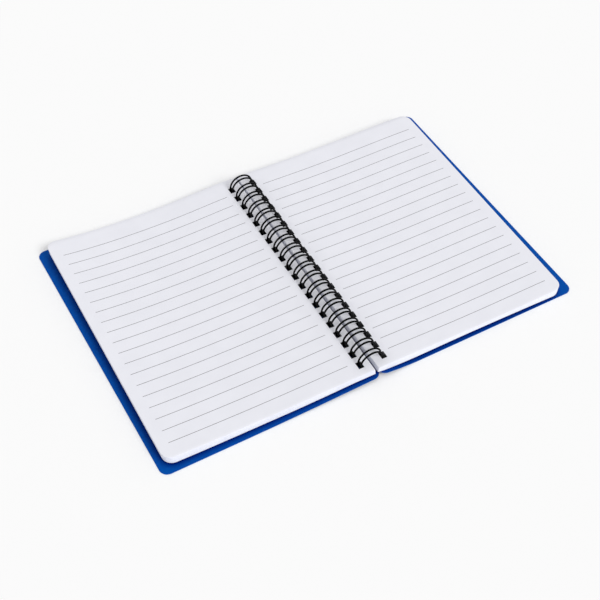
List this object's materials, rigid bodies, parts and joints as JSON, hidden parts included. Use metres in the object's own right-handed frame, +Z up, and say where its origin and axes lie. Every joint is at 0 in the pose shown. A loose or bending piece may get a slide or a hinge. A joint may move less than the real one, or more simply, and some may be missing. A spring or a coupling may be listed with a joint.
{
  "type": "wire-bound notebook",
  "caption": "Open notebook lying flat, two ruled stacks of leaves on plastic covers with rounded corners, held by a twin-loop wire.",
  "frame": {"origin": "on the table, under the middle of the open notebook's outline", "axes": "+X from the front cover on the left to the back cover on the right, +Y along the spine towards the head of the pages, +Z up"},
  "size_m": [0.2752, 0.1862, 0.0159],
  "materials": {
    "cover_plastic": "fine-grained blue polypropylene sheet, satin",
    "paper": "uncoated white writing paper with grey ruling",
    "coated_wire": "black plastic-coated steel wire, semi-gloss"
  },
  "bodies": {
    "binding": {"binding_wire": "coated_wire"},
    "front": {"front_cover": "cover_plastic"},
    "left_leaves": {"left_pages": "paper"},
    "back": {"back_cover": "cover_plastic"},
    "right_leaves": {"right_pages": "paper"}
  },
  "joints": [
    {"name": "front_cover_hinge", "type": "hinge", "parent": "binding", "child": "front", "pos_m": [-0.00143, 0, 0.00795], "axis": [0, 1, 0], "range_deg": [0, 177]},
    {"name": "left_pages_turn", "type": "hinge", "parent": "front", "child": "left_leaves", "pos_m": [-0.00143, 0, 0.00795], "axis": [0, 1, 0], "range_deg": [0, 177]},
    {"name": "back_cover_hinge", "type": "hinge", "parent": "binding", "child": "back", "pos_m": [-0.00143, 0, 0.00795], "axis": [0, -1, 0], "range_deg": [0, 177]},
    {"name": "right_pages_turn", "type": "hinge", "parent": "back", "child": "right_leaves", "pos_m": [-0.00143, 0, 0.00795], "axis": [0, -1, 0], "range_deg": [0, 177]}
  ]
}
